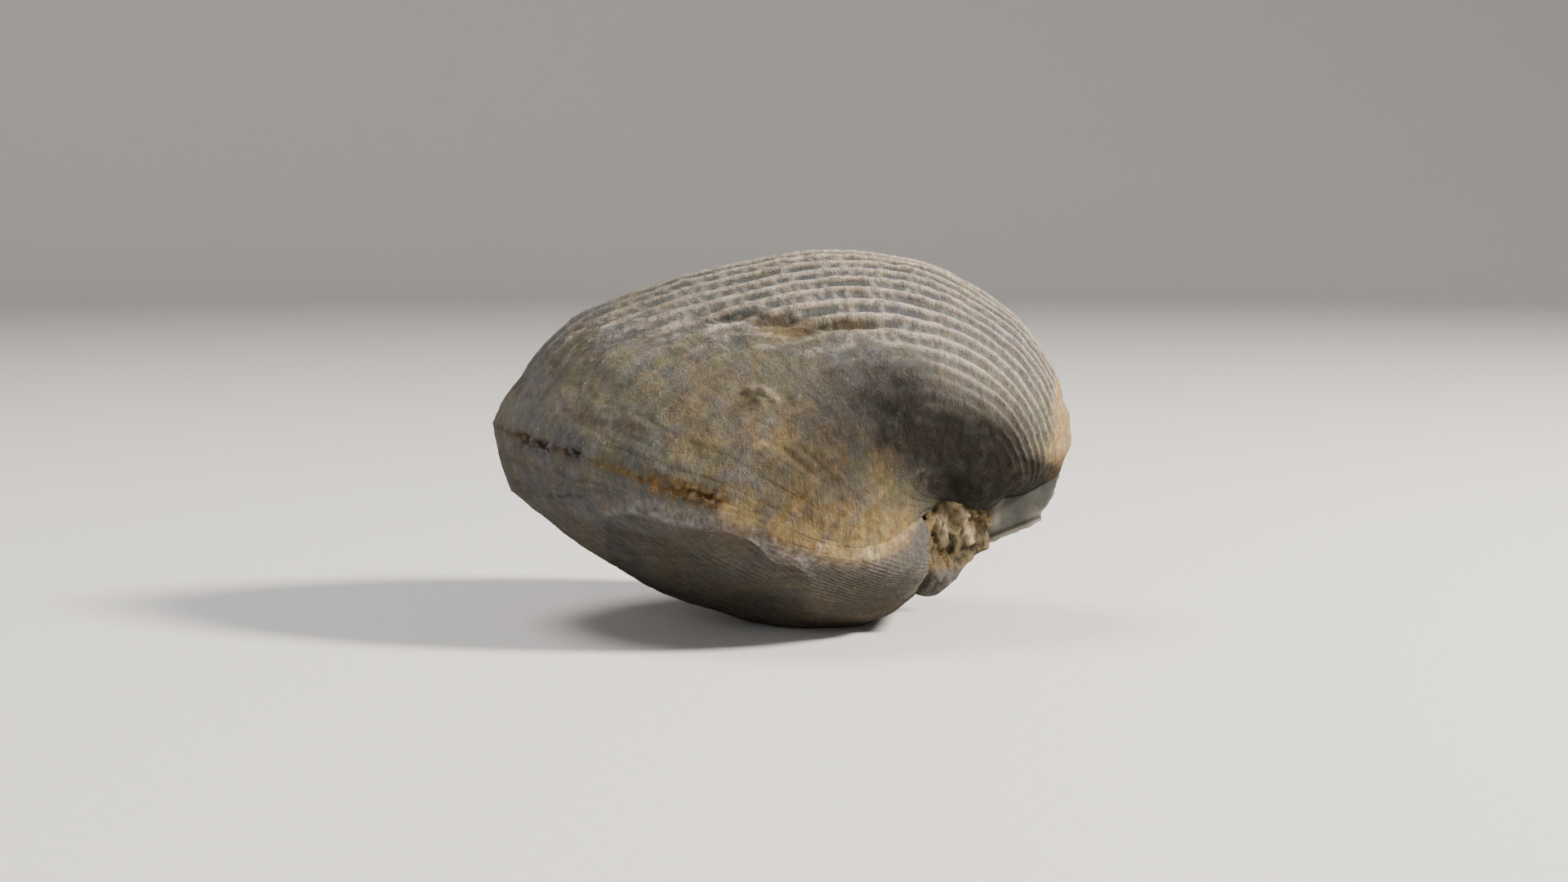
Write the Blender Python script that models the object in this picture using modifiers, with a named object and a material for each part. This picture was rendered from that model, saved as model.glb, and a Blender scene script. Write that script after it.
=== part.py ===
"""A fossil brachiopod with both valves closed, and the rock that fills the notch under its beak.

It lies on the worn flat of its brachial valve: X runs from the front edge (-X) to the beak (+X), Z is up,
and the shell is symmetrical about the plane Y = 0 apart from the rock and the wear.
Each valve is a growth surface: the margin's own shape, scaled and turned from the beak outward along two
rails, one on the valve's crest and one on its hinge edge. The ribs follow the growth. All lengths are metres.
"""

import bmesh
import bpy
import numpy as np
from mathutils import Matrix, Vector

MM = 0.001

# Driving dimensions
LENGTH = 90 * MM  # from the front edge to the back of the beak
GAP = 0.35 * MM  # kept between neighbouring solids
RIBS_PER_SIDE = 22
RIB_RELIEF = 0.55 * MM  # from groove to crest, on the last formed part of the shell
# How far down the flanks the ribs are still strong, as (age, place across)
RIB_REACH = [(0.15, 0.64), (0.35, 0.63), (0.57, 0.45), (0.77, 0.30), (0.86, 0.05)]
PIT_DEPTH = 1.0 * MM  # a break in the pedicle valve's near flank
LEDGE_DEPTH = 0.7 * MM  # where a flake is lost from the brachial valve's near flank

# Rails and margin, as shares of the length: (x, z) in the middle plane, and (x, y, z) on the margin
PEDICLE_CREST = [
    (0.328, 0.207), (0.384, 0.213), (0.431, 0.224), (0.466, 0.249), (0.488, 0.284), (0.496, 0.331),
    (0.484, 0.384), (0.456, 0.452), (0.402, 0.520), (0.321, 0.580), (0.236, 0.619), (0.111, 0.640),
    (-0.014, 0.631), (-0.181, 0.596), (-0.308, 0.552), (-0.368, 0.523), (-0.409, 0.484),
    (-0.473, 0.401), (-0.504, 0.348),
]
PEDICLE_HINGE_EDGE = [(0.328, 0.207), (0.302, 0.224), (0.272, 0.232), (0.251, 0.227), (0.223, 0.214)]
BRACHIAL_CREST = [
    (0.240, 0.080), (0.224, 0.049), (0.170, 0.013), (0.092, -0.010), (-0.026, -0.008), (-0.142, 0.025),
    (-0.234, 0.060), (-0.344, 0.129), (-0.457, 0.215), (-0.476, 0.235), (-0.493, 0.294), (-0.504, 0.348),
]
BRACHIAL_HINGE_EDGE = [(0.240, 0.080), (0.245, 0.122), (0.237, 0.178), (0.223, 0.214)]
MARGIN = [
    (-0.504, 0.000, 0.348), (-0.492, 0.056, 0.349), (-0.463, 0.122, 0.343), (-0.414, 0.194, 0.333),
    (-0.356, 0.239, 0.322), (-0.287, 0.278, 0.305), (-0.220, 0.306, 0.284), (-0.155, 0.324, 0.268),
    (-0.103, 0.333, 0.257), (-0.026, 0.337, 0.230), (0.052, 0.326, 0.196), (0.104, 0.307, 0.179),
    (0.151, 0.278, 0.175), (0.191, 0.239, 0.191), (0.223, 0.200, 0.214),
]
YOUNG_CREST_PINCH = 0.25  # how much narrower the crest of the younger shell is than that of its margin

# How fast each valve widens as it grows: 1 keeps its proportions, less gives a plumper beak
PEDICLE_SPREAD = 0.70
BRACHIAL_SPREAD = 0.50

# The rock under the beak: lumps as (centre, radii) in millimetres, and a slab's outline as shares of the length
ROCK_LUMPS = [
    ((21, 0, 11), (7, 9, 5.6)), ((25, -2, 17), (9, 12, 8.5)), ((32, 4, 18), (6, 7, 5)), ((24, 8, 15), (7, 8, 6)),
]
ROCK_SLAB = [
    (0.300, 0.150), (0.358, 0.137), (0.400, 0.144), (0.452, 0.163), (0.462, 0.178), (0.474, 0.212),
    (0.487, 0.252), (0.478, 0.290), (0.400, 0.300), (0.310, 0.260),
]
ROCK_SLAB_SIDES = (3 * MM, 11 * MM)
ROCK_SLAB_ROUNDING = 2 * MM
ROCK_GRAIN = 1.6 * MM
ROCK_ROUGHNESS = 1.4 * MM
ROCK_ROUGHNESS_SIZE = 5 * MM


def smooth_line(points, before_first=None):
    """A smooth line through the points, as a function of the share of its length, from 0 to 1."""
    points = np.array(points, float)
    if before_first is None:
        before_first = 2 * points[0] - points[1]
    padded = np.vstack([before_first, points, 2 * points[-1] - points[-2]])
    steps = np.linspace(0, 1, 24, endpoint=False)[:, None]
    spans = []
    for before, start, end, after in zip(padded, padded[1:], padded[2:], padded[3:]):
        spans.append(
            start
            + 0.5 * steps * (end - before)
            + steps**2 * (before - 2.5 * start + 2 * end - 0.5 * after)
            + 0.5 * steps**3 * (after - 3 * end + 3 * start - before)
        )
    dense = np.vstack(spans + [points[-1:]])
    travelled = np.concatenate([[0], np.cumsum(np.linalg.norm(np.diff(dense, axis=0), axis=1))])
    travelled /= travelled[-1]

    def at(share):
        columns = [np.interp(share, travelled, dense[:, axis]) for axis in range(dense.shape[1])]
        return np.stack(columns, axis=-1)

    return at


def smoothstep(low, high, value):
    """0 below low, 1 above high, and a smooth rise between them."""
    share = np.clip((value - low) / (high - low), 0, 1)
    return share * share * (3 - 2 * share)


class Valve:
    """One valve's growth surface, read by its age (0 at the beak, 1 at the margin) and by its place across
    (-1 at the near hinge end, 0 on the crest, 1 at the far hinge end)."""

    def __init__(self, crest, hinge_edge, spread, relief):
        self.crest = smooth_line(crest)
        self.hinge_edge = smooth_line(hinge_edge)
        self.spread = spread
        self.relief = relief
        mirrored = np.array(MARGIN[1]) * (1, -1, 1)
        self.margin = smooth_line(MARGIN, before_first=mirrored)
        self.front = self.margin(0.0)[[0, 2]]
        self.chord = self.margin(1.0)[[0, 2]] - self.front

    def point(self, age, across):
        """The smooth surface, with no ribs, as shares of the length."""
        side = np.sign(across)
        margin = self.margin(np.abs(across))
        offset = margin[..., [0, 2]] - self.front
        size = np.linalg.norm(self.chord)
        inward = offset @ self.chord / size**2
        forward = (offset[..., 0] * self.chord[1] - offset[..., 1] * self.chord[0]) / size**2
        crest = self.crest(age)
        chord = self.hinge_edge(age) - crest
        ahead = np.stack([chord[..., 1], -chord[..., 0]], axis=-1)
        flat = crest + chord * inward[..., None] + ahead * forward[..., None]
        widening = (np.linalg.norm(chord, axis=-1) / size) ** self.spread
        pinch = YOUNG_CREST_PINCH * (1 - smoothstep(0.75, 1.0, age)) * (1 - smoothstep(0.0, 0.5, inward))
        half_width = margin[..., 1] * widening * (1 - pinch)
        return np.stack([flat[..., 0], side * half_width, flat[..., 1]], axis=-1)

    def place(self, age, across):
        """The surface with its ribs and breaks, in metres."""
        step = 0.004
        older, younger = np.minimum(age + step, 1), np.maximum(age - step, 0)
        along = self.point(older, across) - self.point(younger, across)
        right, left = np.minimum(across + step, 1), np.maximum(across - step, -1)
        sideways = self.point(age, right) - self.point(age, left)
        outward = np.cross(along, sideways)
        outward /= np.maximum(np.linalg.norm(outward, axis=-1, keepdims=True), 1e-12)
        inside = self.crest(0.5) * 0.5 + self.hinge_edge(0.5) * 0.5
        centre = np.array([inside[0], 0.0, inside[1]])
        surface = self.point(age, across)
        facing = np.sign(np.sum(outward * (surface - centre), axis=-1, keepdims=True))
        return surface * LENGTH + outward * facing * self.relief(age, across)[..., None]


def pedicle_relief(age, across):
    """Ribs that grow coarser with the shell and are worn faint on the flanks, and a pit on the near side."""
    wave = 0.5 - 0.5 * np.cos(2 * np.pi * RIBS_PER_SIDE * across)
    coarseness = 0.35 + 0.65 * smoothstep(0.0, 0.6, age)
    reach = np.interp(age, *zip(*RIB_REACH))
    kept = 0.2 + 0.8 * smoothstep(reach + 0.12, reach - 0.02, np.abs(across))
    edges = smoothstep(0.01, 0.06, age) * smoothstep(1.0, 0.90, age) * smoothstep(0.95, 0.75, np.abs(across))
    pit = np.exp(-(((age - 0.64) / 0.035) ** 2) - ((across + 0.35) / 0.045) ** 2)
    return RIB_RELIEF * wave * coarseness * kept * edges - PIT_DEPTH * pit


def brachial_relief(age, across):
    """A lost flake on the near side, with a sharp ledge towards the margin and the hinge."""
    towards_margin = smoothstep(0.91, 0.87, age) * smoothstep(0.35, 0.65, age)
    towards_hinge = smoothstep(-0.67, -0.63, across) * smoothstep(-0.15, -0.40, across)
    return -LEDGE_DEPTH * towards_margin * towards_hinge


def no_relief(age, across):
    """A smooth valve."""
    return np.zeros_like(age)


def valve_mesh(name, valve, rows, columns, lowered):
    """A closed mesh of the valve: a grid laid on its growth surface, and a ruled inner face across it."""
    mesh = bpy.data.meshes.new(name)
    shell = bmesh.new()
    bmesh.ops.create_grid(shell, x_segments=rows, y_segments=columns, size=1)
    flat = np.array([vertex.co[:2] for vertex in shell.verts])
    age = (0.5 + 0.5 * flat[:, 0]) ** 1.2
    placed = valve.place(age, flat[:, 1])
    placed[:, 2] -= lowered * age**8
    grid = {}
    for vertex, (row, column), spot in zip(shell.verts, flat, placed):
        grid[round((row + 1) / 2 * rows), round((column + 1) / 2 * columns)] = vertex
        vertex.co = spot
    for row in range(rows):
        corners = (grid[row, 0], grid[row + 1, 0], grid[row + 1, columns], grid[row, columns])
        shell.faces.new(corners)
    for column in range(columns // 2):
        near, next_near = grid[rows, column], grid[rows, column + 1]
        far, next_far = grid[rows, columns - column], grid[rows, columns - column - 1]
        shell.faces.new([near, next_near, far] if next_near is next_far else [near, next_near, next_far, far])
    bmesh.ops.remove_doubles(shell, verts=shell.verts, dist=0.01 * MM)
    bmesh.ops.recalc_face_normals(shell, faces=shell.faces)
    shell.to_mesh(mesh)
    shell.free()
    return mesh


def cut_flat(mesh, height):
    """Cuts the mesh off level at that height, and closes the cut with one flat face."""
    shell = bmesh.new()
    shell.from_mesh(mesh)
    cut = bmesh.ops.bisect_plane(
        shell,
        geom=shell.verts[:] + shell.edges[:] + shell.faces[:],
        plane_co=(0, 0, height),
        plane_no=(0, 0, -1),
        clear_outer=True,
    )
    rim = [item for item in cut["geom_cut"] if isinstance(item, bmesh.types.BMEdge)]
    bmesh.ops.contextual_create(shell, geom=rim)
    bmesh.ops.recalc_face_normals(shell, faces=shell.faces)
    shell.to_mesh(mesh)
    shell.free()


def slab(name, outline, near, far):
    """A closed mesh of an outline in the XZ plane, given as shares of the length, between two sides."""
    mesh = bpy.data.meshes.new(name)
    block = bmesh.new()
    corners = [block.verts.new((x * LENGTH, near, z * LENGTH)) for x, z in outline]
    face = block.faces.new(corners)
    grown = bmesh.ops.extrude_face_region(block, geom=[face], use_keep_orig=True)
    moved = [item for item in grown["geom"] if isinstance(item, bmesh.types.BMVert)]
    bmesh.ops.translate(block, verts=moved, vec=(0, far - near, 0))
    bmesh.ops.recalc_face_normals(block, faces=block.faces)
    block.to_mesh(mesh)
    block.free()
    return mesh


def lump(rock, centre, radii):
    """Adds an egg-shaped lump to the rock; both its centre and radii are in millimetres."""
    made = bmesh.ops.create_icosphere(rock, subdivisions=3, radius=MM)
    placed = Matrix.Translation(Vector(centre) * MM) @ Matrix.Diagonal((*radii, 1))
    bmesh.ops.transform(rock, matrix=placed, verts=made["verts"])


def hinge_rock(slab_object, cutters):
    """The rock under the beak: rough lumps, and a smooth slab up the far side of the beak."""
    rock = bmesh.new()
    for centre, radii in ROCK_LUMPS:
        lump(rock, centre, radii)
    mesh = bpy.data.meshes.new("hinge_matrix")
    rock.to_mesh(mesh)
    rock.free()
    matrix = bpy.data.objects.new("hinge_matrix", mesh)
    fused = matrix.modifiers.new("fused", "REMESH")
    fused.mode = "VOXEL"
    fused.voxel_size = ROCK_GRAIN
    clouds = bpy.data.textures.new("rock_clouds", "CLOUDS")
    clouds.noise_scale = ROCK_ROUGHNESS_SIZE
    rough = matrix.modifiers.new("rough", "DISPLACE")
    rough.texture = clouds
    rough.texture_coords = "LOCAL"
    rough.strength = ROCK_ROUGHNESS
    rough.mid_level = 0.5
    for shaping in (slab_object, *cutters):
        step = matrix.modifiers.new(shaping.name, "BOOLEAN")
        step.operation = "UNION" if shaping is slab_object else "DIFFERENCE"
        step.solver = "EXACT"
        step.object = shaping
    matrix.data.materials.append(stone("hinge_rock", (0.16, 0.13, 0.08), 0.9))
    return matrix


def shaping_object(name, mesh):
    """A hidden object that another one is joined with or cut by."""
    shaping = bpy.data.objects.new(name, mesh)
    shaping.hide_render = True
    shaping.display_type = "WIRE"
    return shaping


def swell(shaping, amount):
    """Swells the object by the gap that its neighbour keeps to it."""
    swollen = shaping.modifiers.new("swell", "DISPLACE")
    swollen.strength = amount
    swollen.mid_level = 0.0


def stone(name, colour, roughness):
    """A plain stone finish."""
    material = bpy.data.materials.new(name)
    material.use_nodes = True
    shader = material.node_tree.nodes["Principled BSDF"]
    shader.inputs["Base Color"].default_value = (*colour, 1)
    shader.inputs["Roughness"].default_value = roughness
    shader.inputs["Metallic"].default_value = 0.0
    return material


def way_to_origin(objects):
    """How far to move the objects so that the origin is the middle of their box, at its base."""
    bpy.context.view_layer.update()
    depsgraph = bpy.context.evaluated_depsgraph_get()
    spots = []
    for item in objects:
        spots.extend(vertex.co.copy() for vertex in item.evaluated_get(depsgraph).to_mesh().vertices)
    spots = np.array(spots)
    low, high = spots.min(axis=0), spots.max(axis=0)
    return Vector((-(low[0] + high[0]) / 2, -(low[1] + high[1]) / 2, -low[2]))


def main():
    for leftover in list(bpy.data.objects):
        bpy.data.objects.remove(leftover)
    fossil = bpy.data.collections.new("brachiopod_fossil")
    shaping_tools = bpy.data.collections.new("shaping_tools")
    bpy.context.scene.collection.children.link(fossil)
    bpy.context.scene.collection.children.link(shaping_tools)

    pedicle = Valve(PEDICLE_CREST, PEDICLE_HINGE_EDGE, PEDICLE_SPREAD, pedicle_relief)
    brachial = Valve(BRACHIAL_CREST, BRACHIAL_HINGE_EDGE, BRACHIAL_SPREAD, brachial_relief)
    upper = bpy.data.objects.new("pedicle_valve", valve_mesh("pedicle_valve", pedicle, 30, 4 * RIBS_PER_SIDE, 0))
    upper.data.materials.append(stone("ribbed_shell", (0.29, 0.26, 0.22), 0.75))
    lower = bpy.data.objects.new("brachial_valve", valve_mesh("brachial_valve", brachial, 22, 48, GAP))
    lower.data.materials.append(stone("worn_shell", (0.15, 0.13, 0.11), 0.8))

    lower_cutter = shaping_object("lower_cutter", lower.data.copy())
    swell(lower_cutter, GAP)
    cut_flat(lower.data, 0.0)
    pedicle.relief = no_relief
    upper_cutter = shaping_object("upper_cutter", valve_mesh("upper_cutter", pedicle, 28, 40, 0))
    swell(upper_cutter, GAP + RIB_RELIEF)
    slab_object = shaping_object("far_slab", slab("far_slab", ROCK_SLAB, *ROCK_SLAB_SIDES))
    rounding = slab_object.modifiers.new("rounding", "BEVEL")
    rounding.width = ROCK_SLAB_ROUNDING
    rounding.segments = 3
    rock = hinge_rock(slab_object, (upper_cutter, lower_cutter))

    for item in (upper_cutter, lower_cutter, slab_object):
        shaping_tools.objects.link(item)
    for item in (upper, lower, rock):
        fossil.objects.link(item)
    shift = Matrix.Translation(way_to_origin((upper, lower, rock)))
    for item in (upper, lower, rock, upper_cutter, lower_cutter, slab_object):
        item.data.transform(shift)


main()
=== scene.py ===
"""The fossil brachiopod as it looks: worn ribbed shell, stained and broken, with rock under its beak.

Both valves are laid on the same growth surfaces as the solids, with far more points. Their ribs, growth
lines, breaks and wear are real relief; the masks stored on the points say where each colour lies, and noise
in the materials breaks them up. Lengths in the shape code are millimetres, or shares of the shell's length.
"""

import math

import bmesh
import bpy
import numpy as np
from mathutils import Matrix, Vector, noise


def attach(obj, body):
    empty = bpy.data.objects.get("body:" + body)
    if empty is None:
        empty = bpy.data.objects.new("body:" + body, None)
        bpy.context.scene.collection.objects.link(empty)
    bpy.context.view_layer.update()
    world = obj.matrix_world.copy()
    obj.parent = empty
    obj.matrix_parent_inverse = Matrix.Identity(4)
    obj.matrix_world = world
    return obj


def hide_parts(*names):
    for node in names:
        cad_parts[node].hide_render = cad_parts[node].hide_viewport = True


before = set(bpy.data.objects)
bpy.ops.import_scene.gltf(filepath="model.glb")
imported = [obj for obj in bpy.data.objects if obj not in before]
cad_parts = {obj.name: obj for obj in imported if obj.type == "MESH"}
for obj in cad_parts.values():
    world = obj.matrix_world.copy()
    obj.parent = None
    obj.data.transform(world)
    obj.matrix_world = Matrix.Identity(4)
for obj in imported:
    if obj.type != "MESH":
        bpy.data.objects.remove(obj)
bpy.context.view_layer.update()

MM = 0.001
LENGTH = 90.0
MIDDLE = 0.293  # how far the shell's own zero lies from the middle of its box
PEDICLE_TRAVEL = 150.0  # from the beak to the margin, along the crest
BRACHIAL_TRAVEL = 75.0
PEDICLE_PAUSE = 8.5  # between two growth lines
BRACHIAL_PAUSE = 6.0
PEDICLE_GRID = (244, 388)  # faces from the beak to the margin, and across
BRACHIAL_GRID = (176, 520)
RIBS_PER_SIDE = 22
RIBLETS_PER_SIDE = 52
RIB_RELIEF = 0.60
RIBLET_RELIEF = 0.13
CELL_LENGTH = 2.7  # between the bars that cross a groove
FACET_LENGTH = 5.4  # of the flats that the umbo's crest is rubbed into

# The growth surfaces: rails as (x, z) and the margin as (x, y, z), in shares of the length
PEDICLE_CREST = [
    (0.328, 0.207), (0.384, 0.213), (0.431, 0.224), (0.466, 0.249), (0.488, 0.284), (0.496, 0.331),
    (0.484, 0.384), (0.456, 0.452), (0.402, 0.520), (0.321, 0.580), (0.236, 0.619), (0.111, 0.640),
    (-0.014, 0.631), (-0.181, 0.596), (-0.308, 0.552), (-0.368, 0.523), (-0.409, 0.484),
    (-0.473, 0.401), (-0.504, 0.348),
]
PEDICLE_HINGE_EDGE = [(0.328, 0.207), (0.302, 0.224), (0.272, 0.232), (0.251, 0.227), (0.223, 0.214)]
BRACHIAL_CREST = [
    (0.250, 0.128), (0.246, 0.100), (0.238, 0.075), (0.222, 0.048), (0.170, 0.013), (0.092, -0.010),
    (-0.026, -0.008), (-0.142, 0.025), (-0.234, 0.060), (-0.344, 0.129), (-0.457, 0.215), (-0.476, 0.235),
    (-0.493, 0.294), (-0.504, 0.348),
]
BRACHIAL_HINGE_EDGE = [(0.250, 0.128), (0.248, 0.150), (0.240, 0.183), (0.223, 0.214)]
MARGIN = [
    (-0.504, 0.000, 0.348), (-0.492, 0.056, 0.349), (-0.463, 0.122, 0.343), (-0.414, 0.194, 0.333),
    (-0.356, 0.239, 0.322), (-0.287, 0.278, 0.305), (-0.220, 0.306, 0.284), (-0.155, 0.324, 0.268),
    (-0.103, 0.333, 0.257), (-0.026, 0.337, 0.230), (0.052, 0.326, 0.196), (0.104, 0.307, 0.179),
    (0.151, 0.278, 0.175), (0.191, 0.239, 0.191), (0.223, 0.200, 0.214),
]
YOUNG_CREST_PINCH = 0.25
PEDICLE_SPREAD = 0.70
BRACHIAL_SPREAD = 0.50

# How far down each flank the ribs are still strong, and how far from the crest they are rubbed away on the
# umbo, as (age, place across); how much of them is left towards the margin, as (age, share)
NEAR_REACH = [
    (0.06, 0.36), (0.15, 0.52), (0.25, 0.52), (0.35, 0.48), (0.45, 0.42), (0.57, 0.36), (0.67, 0.29),
    (0.77, 0.22), (0.84, 0.10), (0.93, 0.05),
]
FAR_REACH = [
    (0.06, 0.50), (0.15, 0.66), (0.35, 0.66), (0.57, 0.58), (0.70, 0.46), (0.80, 0.30), (0.88, 0.16),
    (0.96, 0.05),
]
RUBBED_REACH = [
    (0.085, 0.15), (0.11, 0.30), (0.134, 0.34), (0.151, 0.33), (0.182, 0.29), (0.209, 0.24), (0.220, 0.16),
    (0.230, 0.04), (0.240, -0.10),
]
RIB_FADING = [(0.55, 1), (0.66, 0.85), (0.76, 0.5), (0.86, 0.3), (0.95, 0.12)]

# Breaks of the near flank, as (x, z); the pit's and the bump's middles as (x, z, radius); how deep the pit is
# along its line, as (place, share)
PIT_LINE = [(-13.3, 48.2), (-7.3, 48.3), (-1.3, 47.8), (4.8, 47.3), (12.0, 47.2), (15.6, 46.6)]
PIT_DEPTHS = [(0, 0.4), (0.2, 0.8), (0.45, 1.0), (0.7, 1.0), (0.85, 0.6), (1, 0.3)]
PIT_MIDDLE = (1.8, 46.6, 3.4)
FLAKE_RIM = [(-10.9, 47.2), (-8.1, 47.7), (-5.4, 46.9), (-3.0, 46.3), (0.0, 45.3)]
BUMP_MIDDLE = (-3.2, 36.9, 1.9)
BUMP_FOLD = [(-5.0, 38.1), (-4.2, 38.4), (-3.0, 38.1), (-1.9, 37.3), (-1.1, 36.7)]
BUMP_TROUGH = [(-5.1, 37.3), (-6.4, 36.1), (-8.0, 34.9)]
FLANK_LINE = [(-8.8, 34.0), (-4.7, 32.4), (0.0, 29.8), (4.6, 25.9), (9.4, 21.1)]
FOLD_SLANT = np.array([(0.34, 0.0, 0.54), (0.0, 0.40, 0.0), (-0.22, 0.0, 0.84)])
HINGE_SWELLING = (28.0, 22.0, 4.2)

# The line where the valves meet: stains and holes as (x, z), and how open it is as (x, share)
STAINED_SEAM = [(-17.6, 25.0), (-15.8, 24.6), (-13.9, 24.1), (-10.7, 23.3), (-9.2, 23.0)]
STAIN_END = (-10.7, 23.2, 1.6)
BROWN_SEAM = [(-43.0, 31.0), (-38.7, 30.2), (-35.4, 29.4), (-30.4, 28.6), (-26.0, 27.4), (-19.8, 25.5)]
SEAM_HOLES = [(-38.7, 30.2), (-37.3, 30.0), (-35.4, 29.3), (-31.0, 28.8), (-13.9, 24.0), (-10.7, 23.3)]
HOLE_RADIUS = 1.1
OPEN_SEAM = [
    (-46, 0.3), (-42, 0.45), (-39, 0.75), (-33, 0.7), (-28, 0.4), (-18, 0.5), (-8, 0.4), (-3, 0.1), (3, 0),
]

# Patches of colour on the near side, as (x, z, radius, strength). The hollow, the shaded flank and ends, the
# shade under the umbo and beak and the low shade patch are painted shade; the lit ribs are painted highlight,
# partly over pale worn shell.
SHADED_HOLLOW = [(17, 36, 7, 0.46), (23, 31, 8, 0.50), (29, 26, 7.5, 0.85)]
OCHRE_PATCHES = [
    (-5.0, 22.5, 3.5, 0.6), (-0.1, 21.0, 3.5, 0.9), (4.7, 18.8, 3.5, 1.0), (10.0, 17.6, 3.5, 1.0),
    (14.6, 17.6, 3.0, 0.9), (17.6, 18.6, 2.0, 0.9), (14.2, 24.7, 4.5, 0.40), (11.8, 29.0, 4.5, 0.45),
    (5.0, 26.5, 5.0, 0.45), (-31.0, 37.0, 4.0, 0.25), (-11.6, 30.0, 5.0, 0.4), (-2.0, 33.0, 6.0, 0.40),
    (-14.0, 41.0, 6.0, 0.25),
]
COOL_PATCHES = [
    (9, 43, 4.5, 0.8), (14, 41, 5, 0.9), (18, 38, 5, 0.7), (23, 34, 5, 0.5), (-37, 34, 8, 0.6),
    (-12, 47, 5, 0.5),
]
SHADED_FLANK = [(11, 32, 12, 0.62), (-12, 37, 9, 0.26), (9.5, 41, 6, 0.13)]
SHADED_ENDS = [(5, 26, 8, 0.34), (33, 29.5, 6, 0.42)]
SHADE_UNDER_UMBO = (31, 21, 9)
SHADE_UNDER_BEAK = (37, 19.0, 5.5)
LIT_RIBS = [(27, 45, 9, 0.55), (36, 38, 6, 0.55)]
PALE_FLECKS = [(21.6, 24.6, 1.5, 1.0), (19.6, 26.0, 0.7, 0.7), (34.3, 27.5, 0.5, 0.6)]
LOW_COOL_PATCHES = [(-36, 24, 7, 0.5), (-24, 19, 6, 0.6)]
LOW_SHADE_PATCH = (-34, 24, 6)

# The brachial valve's lost flake: its ledge as (x, z), its depth and how it ends as (x, share)
LEDGE = [
    (-26.6, 18.9), (-24.5, 20.2), (-22.6, 20.6), (-18.7, 20.4), (-15.2, 19.3), (-11.7, 18.9), (-8.0, 18.5),
    (-5.2, 17.4), (-3.4, 16.0), (-2.0, 14.2), (-0.6, 13.6), (1.4, 13.4), (3.3, 12.2), (4.1, 11.2), (4.6, 9.0),
]
BELOW_ALL = -20.0
LEDGE_DEPTHS = [(-27, 0.0), (-22, 0.24), (-12, 0.22), (-6, 0.6), (-2, 0.9), (1.5, 0.65), (4.6, 0.2)]
FLAKE_END = [(1.8, 1.0), (4.6, 0.0)]
LOW_CRACK = [(-34.6, 22.0), (-32.5, 21.8), (-31.1, 22.1), (-29.3, 22.2)]
CREAM_BAND = [
    (-8.0, 21.4), (-1.3, 18.6), (3.1, 16.9), (5.0, 16.0), (9.8, 14.8), (14.2, 15.2), (16.5, 16.5),
    (19.0, 18.6),
]
PALE_BAND = [(-2.0, 16.4), (3.0, 14.4), (7.0, 13.4), (12.5, 13.0)]
PALE_PATCH = [(20.7, 16.4), (20.3, 14.5), (19.0, 12.0), (17.7, 10.0)]
WHITE_TICKS = [(4.9, 15.9, 0.7), (12.0, 14.6, 0.9), (13.4, 14.0, 0.6), (-1.6, 17.0, 0.6)]
TICK_HEIGHT = 1.8  # against its width

# The rock: lumps as (middle, radii), lines as (x, z), its front as (x, y)
ROCK_LUMPS = [
    ((22.0, 0, 11.5), (7, 9, 6.5)), ((23.4, -5.0, 14.8), (6.2, 13, 7.6)),
    ((26.6, -3.5, 15.5), (5.4, 12, 7.4)), ((25.8, -1, 11.0), (6.0, 10, 5.4)),
    ((22.4, -3, 8.4), (4.6, 10, 4.6)), ((24, 8, 15), (7, 8, 6)),
]
ROCK_FRONT = [(19, -17.5), (22, -14.4), (26, -10.2), (30, -5.4), (33, -2.5)]
ROCK_FOOT = [
    (18.0, 4.8), (20.3, 4.4), (21.8, 4.1), (23.2, 4.4), (26.2, 6.7), (27.6, 9.0), (29.2, 10.0), (32.1, 11.5),
    (34.8, 12.2), (40, 14.2),
]
FOOT_SLOPE = 0.105  # how much lower the foot hangs for each millimetre towards the back
ROCK_RIDGE = [(25.9, 19.9), (26.6, 18.4), (27.0, 16.9), (27.7, 15.4), (28.2, 13.5)]
ROCK_FURROW = [(22.4, 12.9), (26.0, 12.2), (30.0, 12.2)]
ROCK_LOBE = ((29.6, 17.3), (1.9, 2.3))
PALE_FACE = (24.3, 17.8, 1.2)
SLAB_OUTLINE = [
    (30.4, 12.3), (32.4, 11.6), (34.8, 12.7), (37.7, 13.8), (39.9, 14.9), (40.4, 16.5), (41.3, 17.4),
    (42.4, 19.4), (43.3, 22.3), (43.0, 26.0), (36.0, 27.0), (27.0, 24.0),
]
SLAB_FACE = 3.2
SLAB_DEPTH = 7.5
SLAB_THINNING = [(30.5, 1.0), (34, 0.72), (43, 0.30)]
SLAB_EDGE = [(32, 12), (40, 15.2)]
KNOB = (40.1, 4.0, 15.6)
KNOB_RADIUS = 0.75
BREAK_BOX = ((17, -19, 3), (34, 8, 25))
BREAK_COUNT = 190
BREAK_TILT = 0.34

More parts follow.
